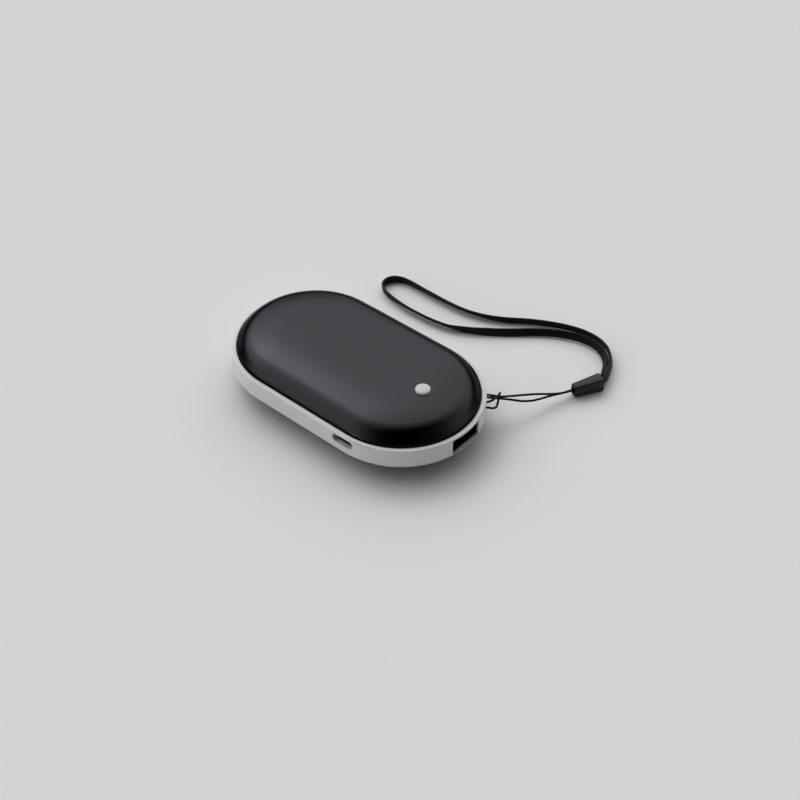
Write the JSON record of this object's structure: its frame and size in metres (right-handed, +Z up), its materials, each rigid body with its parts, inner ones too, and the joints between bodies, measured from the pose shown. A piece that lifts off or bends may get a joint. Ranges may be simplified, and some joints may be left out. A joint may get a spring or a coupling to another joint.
{
  "type": "rechargeable hand warmer",
  "caption": "Stadium-shaped pocket hand warmer: domed metal shells on a white frame ring, with a push button, a power outlet, a charging inlet and a wrist strap.",
  "frame": {"origin": "on the surface the case rests on, below the middle of the case without its strap", "axes": "+X along the case towards the power outlet, +Y towards the side where the strap eye is, +Z up through the button"},
  "size_m": [0.1129, 0.108, 0.021],
  "materials": {
    "white_frame": "fine matte moulded",
    "black_shell": "satin black anodised",
    "seal_tape": "matte adhesive tape",
    "socket_steel": "plated",
    "socket_insert": "moulded",
    "contact_metal": "gold plated",
    "green_board": "solder mask",
    "screw_steel": "zinc plated",
    "switch_housing": "moulded",
    "dome_steel": "spring steel",
    "stem_plastic": "moulded",
    "white_button": "satin moulded",
    "lamp_resin": "clear resin",
    "chip_resin": "moulded resin",
    "coil_ferrite": "sintered",
    "cell_foil": "dull laminate",
    "heater_film": "polyimide film",
    "foam_pad": "soft foam",
    "red_lead": "insulation",
    "black_lead": "insulation",
    "white_lead": "insulation",
    "clip_plastic": "fine matte moulded",
    "strap_cord": "braided",
    "strap_webbing": "woven"
  },
  "bodies": {
    "case": {"mid_frame": "white_frame", "upper_shell": "black_shell", "lower_shell": "black_shell", "upper_seal": "seal_tape", "lower_seal": "seal_tape", "outlet_shell": "socket_steel", "outlet_insert": "socket_insert", "outlet_contacts": "contact_metal", "inlet_shell": "socket_steel", "inlet_insert": "socket_insert", "inlet_pins": "contact_metal", "circuit_board": "green_board", "board_screws": "screw_steel", "switch_body": "switch_housing", "switch_dome": "dome_steel", "status_lamps": "lamp_resin", "control_chips": "chip_resin", "converter_coil": "coil_ferrite", "battery_cell": "cell_foil", "guard_board": "green_board", "upper_heater": "heater_film", "lower_heater": "heater_film", "upper_foam": "foam_pad", "lower_foam": "foam_pad", "red_battery_lead": "red_lead", "black_battery_lead": "black_lead", "upper_heater_leads": "white_lead", "lower_heater_leads": "white_lead", "strap_clip": "clip_plastic", "strap_cord": "strap_cord", "strap_webbing": "strap_webbing"},
    "button": {"power_button": "white_button", "switch_stem": "stem_plastic"}
  },
  "joints": [
    {"name": "button_press", "type": "slide", "parent": "case", "child": "button", "axis": [0, 0, -1], "range_m": [0, 0.00035], "stiffness_N_per_m": 3000, "deforming": ["switch_dome"]}
  ]
}
